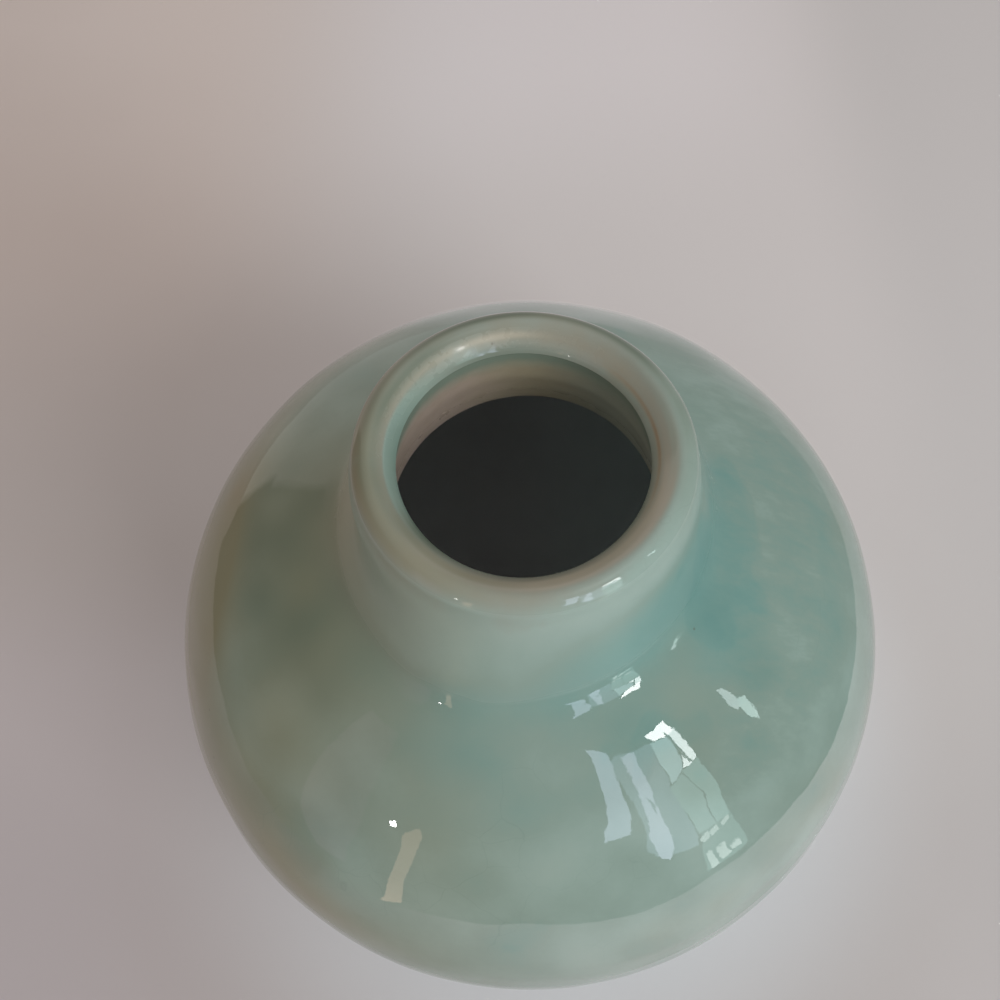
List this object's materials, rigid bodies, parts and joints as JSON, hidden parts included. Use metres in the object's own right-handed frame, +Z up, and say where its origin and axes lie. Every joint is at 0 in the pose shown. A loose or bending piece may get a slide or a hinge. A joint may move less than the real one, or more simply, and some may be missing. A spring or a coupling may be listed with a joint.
{
  "type": "pottery vase",
  "caption": "Small globular celadon-glazed pottery vase with a short tapering neck, a thick rolled lip and a low turned foot ring.",
  "frame": {"origin": "centre of the foot ring's bearing face, on the surface the vase stands on", "axes": "+Z up along the vase's axis of revolution; X and Y level, -Y towards the side seen from the front"},
  "size_m": [0.104, 0.104, 0.1018],
  "materials": {
    "celadon_glaze": "glossy celadon glaze, pale grey-green, deeper blue-green where it pools, cream where it is thin",
    "inner_glaze": "thin glossy glaze over brownish clay",
    "clay_body": "fired stoneware, covered by glaze",
    "foot_clay": "bare fired stoneware, matt, orange-brown"
  },
  "bodies": {
    "root": {"foot_ring": "foot_clay", "lower_body": "clay_body", "upper_body": "clay_body", "neck_collar": "clay_body", "glaze_outer": "celadon_glaze", "glaze_inner": "inner_glaze", "glaze_base": "celadon_glaze"}
  },
  "joints": []
}
